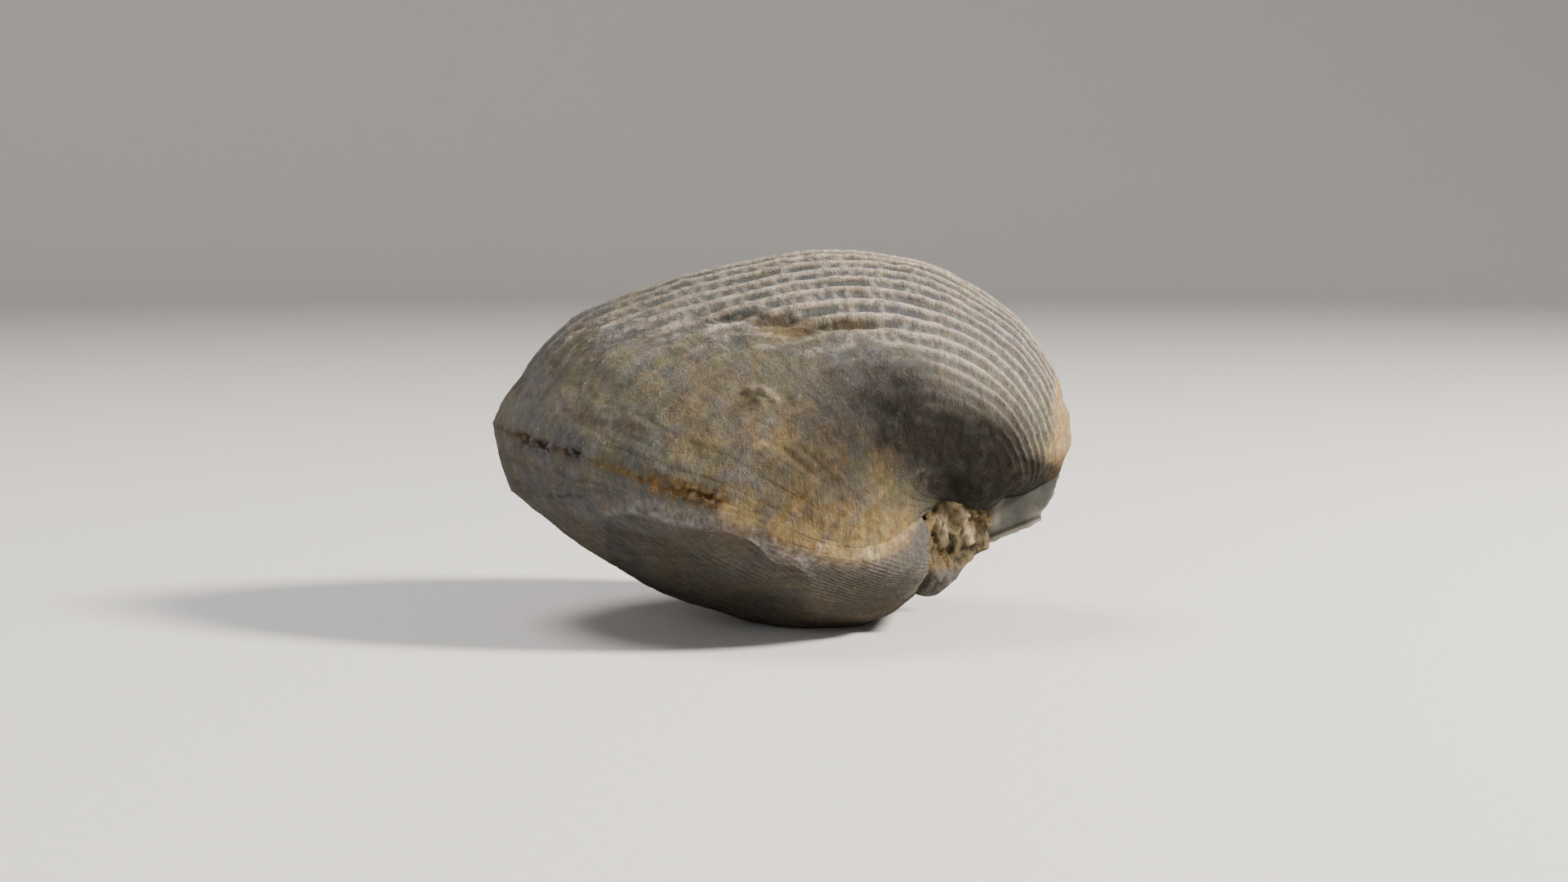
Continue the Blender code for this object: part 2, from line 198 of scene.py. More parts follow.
# Colours, as light reflected. The crest tones are partly painted highlight on the rib crests, and the groove
# tones are painted shade in the grooves.
RIBBED_TONES = {
    "slate": (0.073, 0.074, 0.071), "olive": (0.095, 0.089, 0.063), "tan": (0.120, 0.101, 0.067),
    "lilac": (0.114, 0.107, 0.106), "brown": (0.060, 0.050, 0.037), "crest": (0.400, 0.335, 0.280),
    "groove": (0.056, 0.059, 0.064), "pale": (0.400, 0.350, 0.310),
}
WORN_TONES = {
    "slate": (0.072, 0.072, 0.068), "olive": (0.084, 0.077, 0.058), "tan": (0.105, 0.089, 0.062),
    "lilac": (0.110, 0.103, 0.102), "brown": (0.055, 0.046, 0.035), "crest": (0.130, 0.112, 0.092),
    "groove": (0.030, 0.027, 0.023), "pale": (0.310, 0.285, 0.280),
}
# How strongly the dark masks darken each valve: painted shade, and the dark seam, stains and growth lines.
RIBBED_SHADE_AND_DIRT = 0.92
WORN_SHADE_AND_DIRT = 0.80
COOL_GREY = (0.112, 0.110, 0.118)
OCHRES = ((0.225, 0.156, 0.064), (0.142, 0.088, 0.030))
RUSTS = ((0.215, 0.128, 0.036), (0.110, 0.052, 0.012))
GOLDEN_CREAM = (0.43, 0.31, 0.165)
FLECK_CREAM = (0.300, 0.275, 0.250)
# The dark colour laid over the dark masks: painted shade, and the dark seam and stains.
SHADE_AND_DIRT = (0.0065, 0.0055, 0.0045)
ROCK_BROWNS = ((0.048, 0.041, 0.027), (0.092, 0.073, 0.042))
ROCK_STREAK = (0.030, 0.024, 0.014)
ROCK_OCHRE = (0.210, 0.135, 0.045)
ROCK_SAND = (0.240, 0.190, 0.110)
ROCK_CREAM = (0.420, 0.350, 0.240)
ROCK_DIRT = (0.012, 0.009, 0.006)
FOOT_GREY = (0.078, 0.074, 0.066)
SLAB_GREYS = ((0.066, 0.069, 0.064), (0.088, 0.087, 0.079))
SLAB_CREAM = (0.330, 0.290, 0.250)
PAPERS = ((0.62, 0.61, 0.60), (0.64, 0.63, 0.62))
MATT_SPECULAR = 0.06

# The studio, in metres but for the camera, which is placed in millimetres
FLOOR_FLAT = 1.3
FLOOR_BEND = 0.7
FLOOR_SIDES = 72
WALL_TOP = 2.2
SKY = (0.80, 0.88, 1.0, 1)
SKY_STRENGTH = 0.15
LIT_SPOT = (0, 0, 0.03)
LAMPS = [
    ("key", (0.75, -0.17, 0.52), 0.16, 30.0, (1.0, 0.93, 0.83)),
    ("top", (-0.30, 0.05, 0.80), 0.40, 6.0, (1.0, 0.96, 0.93)),
    ("fill", (-0.30, -0.80, 0.35), 0.70, 2.0, (0.98, 0.98, 1.0)),
]
CAMERA_TILT = 6
CAMERA_DISTANCE = 338.0
CAMERA_AIM = (MIDDLE, 0, 28.265)


def smooth_line(points, before_first=None):
    """A smooth line through the points, as a function of the share of its length, from 0 to 1."""
    points = np.array(points, float)
    if before_first is None:
        before_first = 2 * points[0] - points[1]
    padded = np.vstack([before_first, points, 2 * points[-1] - points[-2]])
    steps = np.linspace(0, 1, 24, endpoint=False)[:, None]
    spans = []
    for before, start, end, after in zip(padded, padded[1:], padded[2:], padded[3:]):
        spans.append(
            start
            + 0.5 * steps * (end - before)
            + steps**2 * (before - 2.5 * start + 2 * end - 0.5 * after)
            + 0.5 * steps**3 * (after - 3 * end + 3 * start - before)
        )
    dense = np.vstack(spans + [points[-1:]])
    travelled = np.concatenate([[0], np.cumsum(np.linalg.norm(np.diff(dense, axis=0), axis=1))])
    travelled /= travelled[-1]

    def at(share):
        columns = [np.interp(share, travelled, dense[:, axis]) for axis in range(dense.shape[1])]
        return np.stack(columns, axis=-1)

    return at


def rise(low, high, value):
    """0 below low, 1 above high, and a smooth rise between them."""
    share = np.clip((value - low) / (high - low), 0, 1)
    return share * share * (3 - 2 * share)


def grain(spots, size, octaves=3, seed=0):
    """Smooth chance values from about -1 to 1 at each spot, with lumps of that size."""
    shift = Vector((17.3 * seed, 5.1 * seed, 9.7 * seed))
    scaled = spots / size
    return np.array([noise.fractal(Vector(spot) + shift, 1.0, 2.0, octaves) for spot in scaled.tolist()])


def near_line(spots, line):
    """Distance in the XZ plane from each spot to a broken line, and how far along the line it is, 0 to 1."""
    line = np.array(line, float)
    best = np.full(len(spots), 1e9)
    along = np.zeros(len(spots))
    flat = spots[:, [0, 2]]
    for index, (start, end) in enumerate(zip(line, line[1:])):
        step = end - start
        share = np.clip((flat - start) @ step / (step @ step), 0, 1)
        distance = np.linalg.norm(flat - start - share[:, None] * step, axis=1)
        closer = distance < best
        best = np.where(closer, distance, best)
        along = np.where(closer, (index + share) / (len(line) - 1), along)
    return best, along


def read(table, value):
    """Reads a table of (place, amount) pairs, with straight runs between them."""
    return np.interp(value, *zip(*table))


def fade(distance, width):
    """1 at no distance, falling off smoothly to 0 over about twice the width."""
    return np.exp(-((distance / width) ** 2))


def streak(spots, line, width):
    """1 along a broken line in the XZ plane, falling off smoothly to 0 on both sides of it."""
    return fade(near_line(spots, line)[0], width)


def bloom(spots, x, z, radius, squash=1.0):
    """1 at a place in the XZ plane, falling off smoothly to 0. A squash above 1 makes it longer than high."""
    return np.exp(-((spots[:, 0] - x) ** 2 + (squash * (spots[:, 2] - z)) ** 2) / radius**2)


def blooms(spots, patches):
    """The sum of several blooms, each given as (x, z, radius, strength)."""
    return sum(strength * bloom(spots, x, z, radius) for x, z, radius, strength in patches)


def growth_pauses(lines):
    """1 at each whole number of growth lines, where the shell paused, and soon 0 after it."""
    return fade(lines - np.floor(lines), 0.10)


class Valve:
    """One valve's growth surface, read by its age (0 at the beak, 1 at the margin) and by its place across
    (-1 at the near hinge end, 0 on the crest, 1 at the far hinge end)."""

    def __init__(self, crest, hinge_edge, spread):
        self.crest = smooth_line(crest)
        self.hinge_edge = smooth_line(hinge_edge)
        self.spread = spread
        mirrored = np.array(MARGIN[1]) * (1, -1, 1)
        self.margin = smooth_line(MARGIN, before_first=mirrored)
        self.front = self.margin(0.0)[[0, 2]]
        self.chord = self.margin(1.0)[[0, 2]] - self.front

    def point(self, age, across):
        """The smooth surface, in millimetres."""
        margin = self.margin(np.abs(across))
        offset = margin[..., [0, 2]] - self.front
        size = np.linalg.norm(self.chord)
        inward = offset @ self.chord / size**2
        forward = (offset[..., 0] * self.chord[1] - offset[..., 1] * self.chord[0]) / size**2
        crest = self.crest(age)
        chord = self.hinge_edge(age) - crest
        ahead = np.stack([chord[..., 1], -chord[..., 0]], axis=-1)
        flat = crest + chord * inward[..., None] + ahead * forward[..., None]
        widening = (np.linalg.norm(chord, axis=-1) / size) ** self.spread
        pinch = YOUNG_CREST_PINCH * (1 - rise(0.75, 1.0, age)) * (1 - rise(0.0, 0.5, inward))
        half_width = margin[..., 1] * widening * (1 - pinch)
        return np.stack([flat[..., 0], np.sign(across) * half_width, flat[..., 1]], axis=-1) * LENGTH

    def outward(self, age, across):
        """The smooth surface's outward directions."""
        step = 0.004
        older, younger = np.minimum(age + step, 1), np.maximum(age - step, 0)
        right, left = np.minimum(across + step, 1), np.maximum(across - step, -1)
        along = self.point(older, across) - self.point(younger, across)
        sideways = self.point(age, right) - self.point(age, left)
        outward = np.cross(along, sideways)
        outward /= np.maximum(np.linalg.norm(outward, axis=-1, keepdims=True), 1e-12)
        inside = (self.crest(0.5) + self.hinge_edge(0.5)) * 0.5 * LENGTH
        centre = np.array([inside[0], 0.0, inside[1]])
        spots = self.point(age, across)
        return outward * np.sign(np.sum(outward * (spots - centre), axis=-1, keepdims=True))


def seam_wobble(across):
    """How far the line where the valves meet strays up or down, in millimetres."""
    line = np.stack([across * 40, np.zeros_like(across), np.zeros_like(across)], axis=-1)
    return 0.30 * grain(line, 1.6, 3, seed=3)


def seam_marks(age, spots, near):
    """What both valves share along the line where they meet: relief in millimetres, ochre and dark masks."""
    brown, _ = near_line(spots, BROWN_SEAM)
    stained, _ = near_line(spots, STAINED_SEAM)
    chance = grain(spots, 2.2, 3, seed=4)
    fine = grain(spots, 0.9, 2, seed=5)
    open_far = np.clip(0.35 + 0.6 * grain(spots * (1, 0, 0), 9, 2, seed=6), 0.05, 1)
    opened = np.where(near, read(OPEN_SEAM, spots[:, 0]), open_far)
    holes = sum(bloom(spots, x, z, HOLE_RADIUS) for x, z in SEAM_HOLES) * near
    ragged = np.clip(holes * rise(-0.1, 0.5, fine) * 1.3, 0, 1)

    relief = -opened * (0.55 + 0.25 * chance) * rise(0.975, 1.0, age)
    relief += -0.55 * ragged + 0.30 * holes * rise(0.05, -0.4, fine)

    far_stain = np.clip(grain(spots * (1, 0, 0), 12, 2, seed=7) * 1.3, 0, 1) * ~near
    ochre = fade(brown, 0.55) * (0.34 + 0.45 * chance)
    ochre += 1.15 * fade(stained, 1.45 + 0.8 * chance) * (0.80 + 0.6 * fine)
    ochre = ochre * near + 0.8 * far_stain * rise(0.93, 1.0, age)

    dark = 0.34 * fade(stained, 0.75) * (1 + 1.5 * fine) + 0.30 * fade(brown, 0.40) * (0.8 + fine)
    dark += 0.30 * bloom(spots, *STAIN_END) * (1 + fine)
    dark = dark * near + 0.50 * ragged + opened * rise(0.985, 1.0, age) * (0.45 + 0.7 * fine)
    return relief, ochre, dark


def flank_ochre(spots, near):
    """Ochre patches of the near side, which run on from one valve to the other."""
    return blooms(spots, OCHRE_PATCHES) * near * np.clip(0.95 + 0.9 * grain(spots, 4.5, 3, seed=21), 0, 1.6)


class RibbedSkin:
    """The pedicle valve's skin at each point: its relief in millimetres, and its colour masks."""

    def __init__(self, age, across, spots):
        self.age = age
        self.across = across
        self.side = np.abs(across)
        self.near = across < 0
        self.spots = spots
        self.patchy = grain(spots, 7, 3, seed=11)
        self.ragged = grain(spots, 1.4, 3, seed=20)
        self.cloud = grain(spots, 4.5, 3, seed=21)
        self.facing = rise(4.0, -4.0, spots[:, 1] + 1.5 * self.patchy)
        # Painted shade in the hollow under the umbo; the faint ribs are also kept out of it.
        self.hollow = np.clip(blooms(spots, SHADED_HOLLOW) * (0.98 + 0.14 * self.patchy), 0, 1)
        self.hollow *= np.where(self.near, 1, 0.7)
        self.reach = np.where(self.near, read(NEAR_REACH, age), read(FAR_REACH, age))
        self.rubbed = self.rubbed_crest()
        self.kept = self.ribs_left()
        self.flank = 1 - np.clip(1.4 * self.kept, 0, 1)
        self.wave, self.bars = self.rib_pattern()
        self.crest = self.wave**2.4
        pauses = growth_pauses(age * PEDICLE_TRAVEL / PEDICLE_PAUSE + 0.35 * grain(spots, 22, 2, seed=16))
        self.ledges = pauses * rise(0.35, 0.6, age) * (0.5 + 0.5 * self.patchy) * self.flank
        self.dashes, self.feathers = self.rib_ends()
        self.broken = self.breaks()
        self.seam_relief, self.seam_ochre, self.seam_dark = seam_marks(age, spots, self.near)

    def rubbed_crest(self):
        """1 where the ribs are rubbed away along the umbo's crest."""
        bare = self.side + 0.060 * self.patchy + 0.030 * grain(self.spots, 1.6, 3, seed=25)
        reach = read(RUBBED_REACH, self.age) * np.where(self.near, 1, 0.6)
        return rise(reach + 0.04, reach - 0.04, bare)

    def ribs_left(self):
        """How much of each rib wear has left, 0 to 1."""
        age, spots = self.age, self.spots
        softer = 0.09 * rise(0.55, 0.25, age)
        strong = self.reach - 0.03 - softer
        gone = self.reach + 0.09 + softer
        kept = rise(gone, strong, self.side + 0.05 * self.patchy) * read(RIB_FADING, age)
        faint = 0.06 * (1 - self.hollow) * rise(1.0, 0.9, age)
        tip = rise(27.5, 23.0, spots[:, 2]) * rise(30, 34, spots[:, 0])
        tip *= 0.35 + 0.65 * self.facing
        ends = rise(0.01, 0.05, age) * rise(0.985, 0.86, age) * rise(0.97, 0.85, self.side)
        return np.maximum(kept, faint) * (1 - 0.92 * self.rubbed) * (1 - 0.65 * tip) * ends

    def rib_pattern(self):
        """The wave across the ribs, 0 in a groove and 1 on a crest, and the bars that cross the grooves."""
        age, spots = self.age, self.spots
        phase = RIBS_PER_SIDE * self.across
        phase += 0.14 * grain(spots, 8, 2, seed=12) + 0.09 * grain(spots, 1.8, 2, seed=13)
        groove = np.round(phase)
        cell = age * PEDICLE_TRAVEL / CELL_LENGTH + 0.37 * groove**2 + 0.9 * grain(spots, 6, 2, seed=14)
        chance = np.sin(np.floor(cell) * 12.99 + groove * 78.23) * 43758.5
        chance -= np.floor(chance)
        bars = fade(cell - np.floor(cell) - 0.5, 0.07 + 0.20 * chance) * (chance > 0.25)
        bars *= (0.25 + 0.75 * rise(0.36, 0.54, age)) * rise(0.22, 0.34, age)
        return 0.5 - 0.5 * np.cos(2 * np.pi * phase), bars

    def rib_ends(self):
        """Dashes and feathered bits that are left of the worn ribs, past their reach on the near flank."""
        age, spots, side, reach = self.age, self.spots, self.side, self.reach
        beyond = rise(reach - 0.05, reach + 0.02, side) * rise(reach + 0.20, reach + 0.06, side)
        beyond *= rise(0.42, 0.6, age) * rise(0.92, 0.84, age) * self.near
        dashes = rise(0.05, 0.45, grain(spots, 2.6, 3, seed=24) + 0.1)
        feathers = rise(0.10, 0.50, grain(spots * (1, 1, 2.0), 1.5, 3, seed=27))
        return beyond * rise(0.35, 0.85, self.wave) * dashes, beyond * feathers

    def breaks(self):
        """What is broken on the near flank, each as a share from 0 to about 1."""
        spots, ragged = self.spots, self.ragged
        pit, place = near_line(spots, PIT_LINE)
        pitted = fade(pit, 0.95 + 0.35 * ragged) * read(PIT_DEPTHS, place)
        flaked = rise(-0.10, 0.30, grain(spots, 1.0, 3, seed=26))
        shares = {
            "pit": np.maximum(pitted, bloom(spots, *PIT_MIDDLE, 2.2) * (0.9 + 0.4 * ragged)),
            "rim": streak(spots, FLAKE_RIM, 0.60) * np.clip(0.75 + 0.8 * ragged, 0, 1.4) * flaked,
            "rim stain": streak(spots, FLAKE_RIM, 1.3) * rise(-5.5, -2.5, spots[:, 0]),
            "bump": bloom(spots, *BUMP_MIDDLE, 1.2),
            "fold": streak(spots, BUMP_FOLD, 0.60) * np.clip(0.85 + 0.6 * ragged, 0.3, 1.4),
            "trough": streak(spots, BUMP_TROUGH, 1.15),
            "line": streak(spots, FLANK_LINE, 0.5) * np.clip(0.7 + self.patchy, 0, 1),
        }
        return {name: share * self.near for name, share in shares.items()}

    def relief(self):
        """How far each point stands out, in millimetres."""
        age, spots, flank, broken = self.age, self.spots, self.flank, self.broken
        lengthwise = 1 + 0.20 * grain(spots, 3.2, 2, seed=15) + 0.28 * grain(spots, 1.1, 2, seed=23)
        ribs = self.crest * lengthwise + 0.38 * self.bars * (1 - self.crest) - 0.60
        relief = RIB_RELIEF * self.kept * ribs * (0.50 + 0.50 * rise(0.0, 0.45, age))
        relief += 0.38 * grain(spots, 17, 2, seed=17) + (0.10 + 0.16 * flank) * grain(spots, 5, 3, seed=18)
        relief += (0.03 + 0.05 * flank) * grain(spots, 1.3, 3, seed=19) - 0.10 * self.ledges
        folds = grain(spots @ FOLD_SLANT, 2.8, 2, seed=28)
        relief += 0.20 * folds * flank * self.near * rise(0.35, 0.5, age)
        relief *= rise(0.0, 0.06, age)

        relief += -1.15 * broken["pit"] + 0.32 * broken["rim"] + (0.42 + 0.5 * self.ragged) * broken["bump"]
        relief += 0.50 * broken["fold"] - 0.42 * broken["trough"] - 0.34 * broken["line"]
        relief += 0.14 * self.dashes + 0.12 * self.feathers
        facets = np.abs((age * PEDICLE_TRAVEL / FACET_LENGTH) % 1 - 0.5)
        relief += self.rubbed * (0.7 * facets - 0.38)
        tucked = rise(23.0, 19.5, spots[:, 2]) * rise(31, 34.5, spots[:, 0])
        relief -= 1.2 * tucked * rise(2, -1, spots[:, 1])
        return relief + 1.9 * bloom(spots, *HINGE_SWELLING) * self.near + self.seam_relief

    def ochre(self):
        """Where ochre has stained the shell."""
        spots, broken = self.spots, self.broken
        far = np.clip(0.5 * grain(spots, 14, 3, seed=22), 0, 1) * ~self.near * self.flank
        ochre = flank_ochre(spots, self.near) + far * np.clip(0.85 + 0.8 * self.cloud, 0, 1.5)
        ochre += 0.6 * broken["pit"] * rise(-7, -3, spots[:, 0])
        ochre += 1.3 * self.rubbed * (0.8 + 0.5 * self.ragged)
        return ochre + 0.35 * broken["line"] + 0.3 * broken["trough"] + 0.42 * broken["rim stain"]

    def dark(self, shown_crest):
        """Where the shell is darkened: painted shade in the hollow, on the flank that turns inwards, under
        the umbo and beak, near the beak's tip, and in the pit and the trough by the bump; and the dark seam
        with its stains and holes, and the growth lines.
        """
        spots, near = self.spots, self.near
        # Painted shade under the umbo and under the beak.
        under = bloom(spots, *SHADE_UNDER_UMBO, 1.6) * near + bloom(spots, *SHADE_UNDER_BEAK, 1.6)
        # Painted shade on the flank where it turns inwards, away from the light, and at its ends.
        flank_and_tip_shade = blooms(spots, SHADED_FLANK) * near * self.flank * (1 + 0.35 * self.patchy)
        flank_and_tip_shade += blooms(spots, SHADED_ENDS) * near
        # Painted shade near the beak's tip, stronger on the near side.
        tip = rise(28.5, 23.5, spots[:, 2]) * rise(32, 35.5, spots[:, 0])
        flank_and_tip_shade += 0.80 * tip * (0.3 + 0.7 * self.facing)
        # Painted shade in the pit and painted shadow in the trough beside the bump; the growth lines are
        # darker in their own colour.
        broken = 0.65 * self.broken["pit"] + 0.25 * self.broken["trough"] + 0.12 * self.ledges
        return 0.9 * self.hollow * (1 - 0.5 * shown_crest) + 1.02 * under + flank_and_tip_shade + broken + self.seam_dark

    def masks(self):
        """Where each colour lies."""
        spots, near, ragged, wave, kept = self.spots, self.near, self.ragged, self.wave, self.kept
        grown = rise(0.25, 0.5, self.age)
        shown_crest = kept**1.25 * rise(0.50, 0.92, wave) * (0.85 + 0.35 * ragged) * (0.6 + 0.4 * grown)
        crossed = 0.5 * self.bars * kept * (1 - self.crest)
        cool = blooms(spots, COOL_PATCHES) * near * np.clip(0.7 + 0.9 * self.cloud, 0, 1.2)
        # Painted highlight on the rib crests where the light falls from the upper right, partly over pale
        # worn shell.
        lit = blooms(spots, LIT_RIBS) * near * (0.1 + 0.9 * wave**2)
        flecks = blooms(spots, PALE_FLECKS) * near * np.clip(0.35 + 1.3 * ragged, 0, 0.9)
        # Pale on the flake's rim is broken shell; pale on the bump's fold is painted highlight.
        chipped_and_highlit = 0.75 * self.broken["rim"] + 0.38 * self.broken["fold"]
        return {
            # Pale crests: partly worn shell, partly painted highlight; the groove mask is painted shade.
            "crest": shown_crest + crossed + 0.50 * self.dashes + 0.30 * self.feathers,
            "groove": kept * rise(0.62, 0.22, wave) * (1 - 0.75 * self.bars) * (0.3 + 0.7 * grown),
            "ochre": self.ochre(),
            "rust": self.seam_ochre + self.rubbed * np.clip(0.30 + 0.9 * ragged, 0, 0.8),
            "cool": cool,
            "dark": self.dark(shown_crest),
            "pale": chipped_and_highlit + 0.34 * self.rubbed * (1 + ragged) + lit + flecks,
        }


class WornSkin:
    """The brachial valve's skin at each point: its relief in millimetres, and its colour masks."""

    def __init__(self, age, across, spots):
        self.age = age
        self.near = across < 0
        self.spots = spots
        self.patchy = grain(spots, 6, 3, seed=31)
        self.ragged = grain(spots, 1.4, 3, seed=32)
        self.lost, self.brow, self.above = self.flake()
        self.patched = streak(spots, PALE_PATCH, 2.0) * self.near
        self.cracked = streak(spots, LOW_CRACK, 0.35) * self.near * np.clip(0.3 + self.ragged, 0, 0.8)
        narrow = 1 / TICK_HEIGHT
        ticks = sum(bloom(spots, x, z, narrow * size, narrow) for x, z, size in WHITE_TICKS)
        self.ticks = ticks * self.near
        self.kept, self.clear = self.riblets_left()
        phase = RIBLETS_PER_SIDE * across + 0.25 * grain(spots, 6, 2, seed=33)
        self.wave = 0.5 - 0.5 * np.cos(2 * np.pi * phase)
        pauses = growth_pauses(age * BRACHIAL_TRAVEL / BRACHIAL_PAUSE + 0.4 * grain(spots, 18, 2, seed=34))
        self.ledges = pauses * rise(0.3, 0.5, age) * (0.5 + 0.5 * self.patchy)
        self.seam_relief, self.seam_ochre, self.seam_dark = seam_marks(age, spots, self.near)

    def flake(self):
        """Where a flake is lost, the brow along its upper rim, and the strip of shell above that."""
        x, z = self.spots[:, 0], self.spots[:, 2]
        ledge = np.interp(x + 0.5 * self.ragged, *zip(*LEDGE), left=BELOW_ALL, right=BELOW_ALL)
        below = ledge + 0.5 * self.ragged - z
        lost = rise(0.0, 0.55, below) * rise(2.0, 8.0, z) * read(FLAKE_END, x)
        brow = fade(below, 0.7) * rise(5.0, 2.0, x)
        above = fade(below + 1.4, 1.2) * rise(-25, -20, x)
        return lost * self.near, brow * self.near, above * self.near

    def riblets_left(self):
        """How much of each riblet is left, and where they show most, 0 to 1."""
        age, x, z = self.age, self.spots[:, 0], self.spots[:, 2]
        kept = rise(0.97, 0.80, age) * rise(0.02, 0.12, age) * (1 - 0.45 * self.lost)
        kept *= np.clip(0.75 + 0.7 * self.patchy, 0.15, 1.1) * np.where(self.near, rise(19, 13, z), 1)
        clear = self.near * rise(15.0, 11.0, z) * rise(-14, -2, x) * rise(0.99, 0.95, age)
        return kept * (1 - 0.6 * self.patched), clear

    def relief(self):
        """How far each point stands out, in millimetres."""
        spots = self.spots
        relief = (RIBLET_RELIEF + 0.05 * self.clear) * self.kept * self.wave
        relief += 0.30 * grain(spots, 15, 2, seed=35) + 0.14 * grain(spots, 4, 3, seed=36)
        relief += 0.05 * grain(spots, 1.2, 3, seed=37) - 0.12 * self.ledges
        relief *= rise(0.0, 0.08, self.age)
        relief += 0.16 * self.brow - read(LEDGE_DEPTHS, spots[:, 0]) * self.lost
        return relief + 0.25 * self.ticks - 0.22 * self.cracked + self.seam_relief

    def masks(self):
        """Where each colour lies."""
        spots, near, patchy, ragged = self.spots, self.near, self.patchy, self.ragged
        cloud = grain(spots, 4.0, 3, seed=38)
        banded = streak(spots, CREAM_BAND, 1.5 + 0.7 * patchy) * near
        paled = streak(spots, PALE_BAND, 1.3 + 0.5 * patchy) * near
        ochre = 0.7 * banded * np.clip(0.8 + 0.7 * cloud, 0, 1.3) + flank_ochre(spots, near)
        ochre += 0.5 * np.clip(0.45 * grain(spots, 12, 3, seed=39), 0, 1)
        cool = blooms(spots, LOW_COOL_PATCHES) + 0.35 * self.patched
        # Painted shade towards the bottom of the valve, near the floor, and in a patch at its low left.
        low = 0.30 * rise(10, 4, spots[:, 2]) + 0.12 * bloom(spots, *LOW_SHADE_PATCH)
        dark = low * near + 0.17 * rise(0.99, 0.86, self.age) + self.seam_dark
        # The lost flake is darker partly in its inner layer's own colour and partly as painted shade in the
        # recess below the ledge.
        dark += 0.35 * self.lost * (0.8 + 0.4 * patchy) + 0.44 * self.patched + 0.7 * self.cracked
        pale = 0.45 * paled * (0.7 + ragged) + 0.22 * self.patched * (0.85 + 0.5 * ragged)
        pale += 0.35 * self.brow * (0.6 + ragged) + 0.34 * self.above * (0.8 + 0.7 * ragged)
        return {
            # Riblet crests are lighter, partly in their own colour and partly as painted highlight; their
            # grooves carry painted shade.
            "crest": self.kept * rise(0.4, 0.95, self.wave) * (0.45 + 0.30 * self.clear),
            "groove": self.kept * rise(0.5, 0.1, self.wave) * (0.6 + 0.3 * self.clear),
            "ochre": ochre,
            "rust": self.seam_ochre,
            "cool": cool * near * np.clip(0.7 + 0.9 * cloud, 0, 1.2),
            "dark": dark + 0.2 * self.ledges,
            "pale": pale + 0.30 * banded + self.ticks,
        }


def store(mesh, masks, lowest=0):
    """Stores masks on the points of a mesh, with their values kept from the lowest to 1."""
    for name, values in masks.items():
        stored = mesh.attributes.new(name, "FLOAT", "POINT")
        stored.data.foreach_set("value", np.clip(values, lowest, 1).astype(np.float32))


def add(name, data):
    """A new object in the scene."""
    added = bpy.data.objects.new(name, data)
    bpy.context.scene.collection.objects.link(added)
    return added


def valve_faces(rows, columns):
    """The faces of a valve's skin, then those that close its inner side."""
    wide = columns + 1
    skin = []
    for row in range(rows):
        first = row * wide
        skin.extend(
            (first + column, first + column + 1, first + column + 1 + wide, first + column + wide)
            for column in range(columns)
        )
    starts = range(0, rows * wide, wide)
    inner = [(start, start + wide, start + wide + columns, start + columns) for start in starts]
    last = rows * wide
    for column in range(columns // 2):
        ring = [last + column, last + column + 1, last + columns - column - 1, last + columns - column]
        inner.append(ring[:2] + ring[3:] if ring[1] == ring[2] else ring)
    return skin, inner


def valve_piece(name, valve, rows, columns, skin_kind):
    """A finely modelled valve: a closed mesh with its masks stored on its points."""
    ages = np.linspace(0, 1, rows + 1)
    ages = ages - 0.06 * np.sin(2 * np.pi * ages)
    places = np.linspace(-1, 1, columns + 1)
    places = 0.78 * places + 0.22 * places**3
    age, across = (grid.ravel() for grid in np.meshgrid(ages, places, indexing="ij"))
    smooth = valve.point(age, across)
    skin = skin_kind(age, across, smooth)
    spots = smooth + valve.outward(age, across) * skin.relief()[:, None]
    spots[:, 2] += seam_wobble(across) * age**14
    spots[:, 2] = np.maximum(spots[:, 2], 0.0)
    spots[:, 0] += MIDDLE

    outer, inner = valve_faces(rows, columns)
    mesh = bpy.data.meshes.new(name)
    mesh.from_pydata((spots * MM).tolist(), [], outer + inner)
    store(mesh, {"age": age, "around": across}, -1)
    store(mesh, skin.masks())
    mesh.shade_smooth()
    shell = bmesh.new()
    shell.from_mesh(mesh)
    shell.faces.ensure_lookup_table()
    for face in shell.faces[len(outer):]:
        face.smooth = False
        for edge in face.edges:
            edge.smooth = False
    bmesh.ops.remove_doubles(shell, verts=shell.verts, dist=0.002 * MM)
    bmesh.ops.recalc_face_normals(shell, faces=shell.faces)
    shell.to_mesh(mesh)
    shell.free()
    return add(name, mesh)


def mesh_values(items, field):
    """One row of three numbers for each vertex."""
    values = np.empty(len(items) * 3)
    items.foreach_get(field, values)
    return values.reshape(-1, 3)


def one_skin(mesh, size, rounds):
    """The mesh's parts fused into one closed skin of small even faces, smoothed that many times."""
    start = add("skin", mesh)
    fused = start.modifiers.new("fused", "REMESH")
    fused.mode = "VOXEL"
    fused.voxel_size = size
    evened = start.modifiers.new("evened", "SMOOTH")
    evened.iterations = rounds
    evened.factor = 0.5
    skin = bpy.data.meshes.new_from_object(start.evaluated_get(bpy.context.evaluated_depsgraph_get()))
    bpy.data.objects.remove(start)
    bpy.data.meshes.remove(mesh)
    return skin


def broken_faces(spots):
    """Relief of broken rock: small faces about 3 mm wide, each tilted its own way."""
    chance = np.random.RandomState(7)
    seeds = chance.uniform(*BREAK_BOX, (BREAK_COUNT, 3))
    tilts = chance.normal(0, BREAK_TILT, (BREAK_COUNT, 3))
    bent = spots + 0.35 * grain(spots, 1.6, 2, seed=58)[:, None]
    nearest = np.argmin(np.sum(seeds**2, axis=1) - 2 * bent @ seeds.T, axis=1)
    return np.clip(np.sum((bent - seeds[nearest]) * tilts[nearest], axis=1), -0.9, 0.9)


